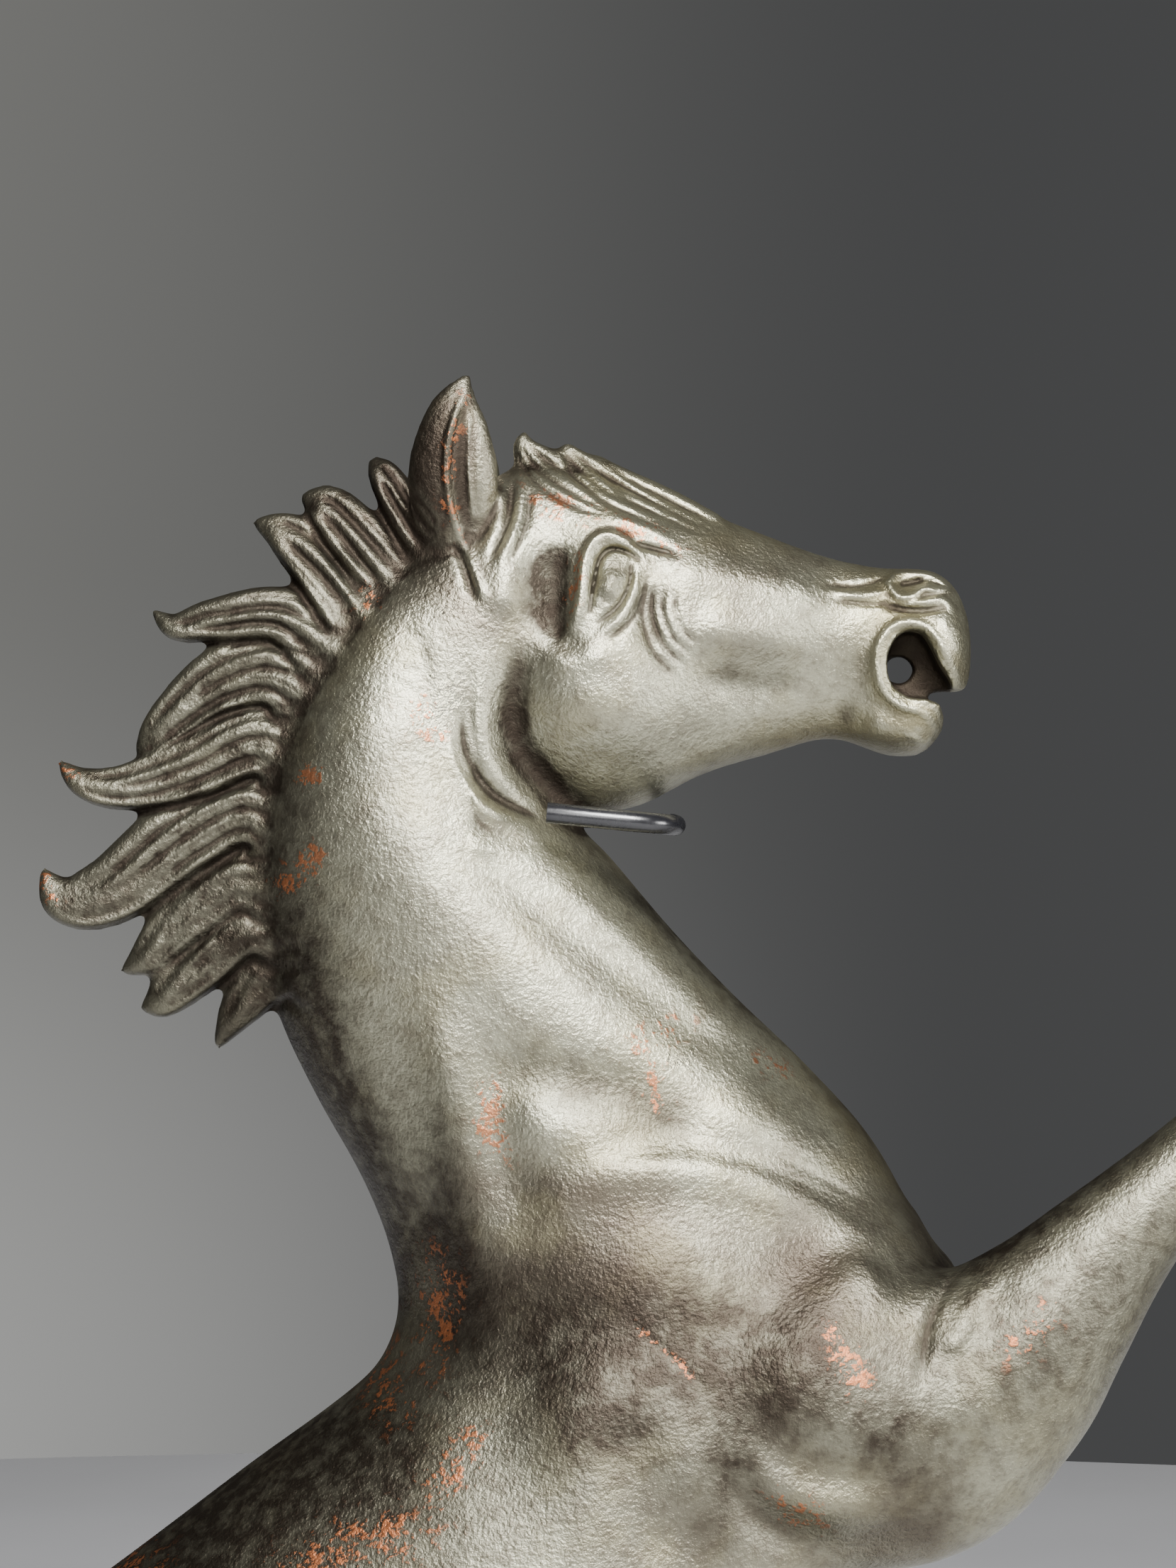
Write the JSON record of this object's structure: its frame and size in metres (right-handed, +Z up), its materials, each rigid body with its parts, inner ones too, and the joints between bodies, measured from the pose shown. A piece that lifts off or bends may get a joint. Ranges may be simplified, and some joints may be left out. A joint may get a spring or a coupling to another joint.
{
  "type": "horse statuette",
  "caption": "Patinated bronze statuette of a rearing horse with a flame-shaped mane, bolted to a stone plinth, with a sleeved rod rest sliding round its throat.",
  "frame": {"origin": "centre of the underside of the felt pad, on the surface that the plinth stands on", "axes": "+Z up; +X the way the horse faces; -Y the horse's right side"},
  "size_m": [0.2164, 0.09, 0.2611],
  "materials": {
    "patinated_bronze": "dark brown patina, rubbed to metal on raised forms",
    "pin_bronze": "filed flush and patinated",
    "zinc_steel": "zinc plated",
    "black_stone": "honed black",
    "green_felt": "pressed wool felt",
    "black_steel": "satin black",
    "black_sleeve": "smooth soft tube"
  },
  "bodies": {
    "statuette": {"forehand_casting": "patinated_bronze", "hindquarter_casting": "patinated_bronze", "left_foreleg_casting": "patinated_bronze", "right_foreleg_casting": "patinated_bronze", "left_hind_leg_casting": "patinated_bronze", "right_hind_leg_casting": "patinated_bronze", "tail_casting": "patinated_bronze", "left_foreleg_pin": "pin_bronze", "right_foreleg_pin": "pin_bronze", "left_hind_leg_pin": "pin_bronze", "right_hind_leg_pin": "pin_bronze", "tail_pin": "pin_bronze", "waist_pin_left": "pin_bronze", "waist_pin_right": "pin_bronze", "left_hoof_stud": "zinc_steel", "right_hoof_stud": "zinc_steel", "left_hoof_washer": "zinc_steel", "right_hoof_washer": "zinc_steel", "post_washer": "zinc_steel", "left_hoof_nut": "zinc_steel", "right_hoof_nut": "zinc_steel", "post_nut": "zinc_steel", "clip_grub_screw": "zinc_steel", "plinth": "black_stone", "felt_pad": "green_felt", "support_post": "black_steel", "clip_receiver": "black_steel"},
    "clip": {"throat_clip": "black_steel", "clip_sleeve": "black_sleeve"}
  },
  "joints": [
    {"name": "throat_clip_slide", "type": "slide", "parent": "statuette", "child": "clip", "axis": [1, 0, 0], "range_m": [0, 0.012]}
  ]
}
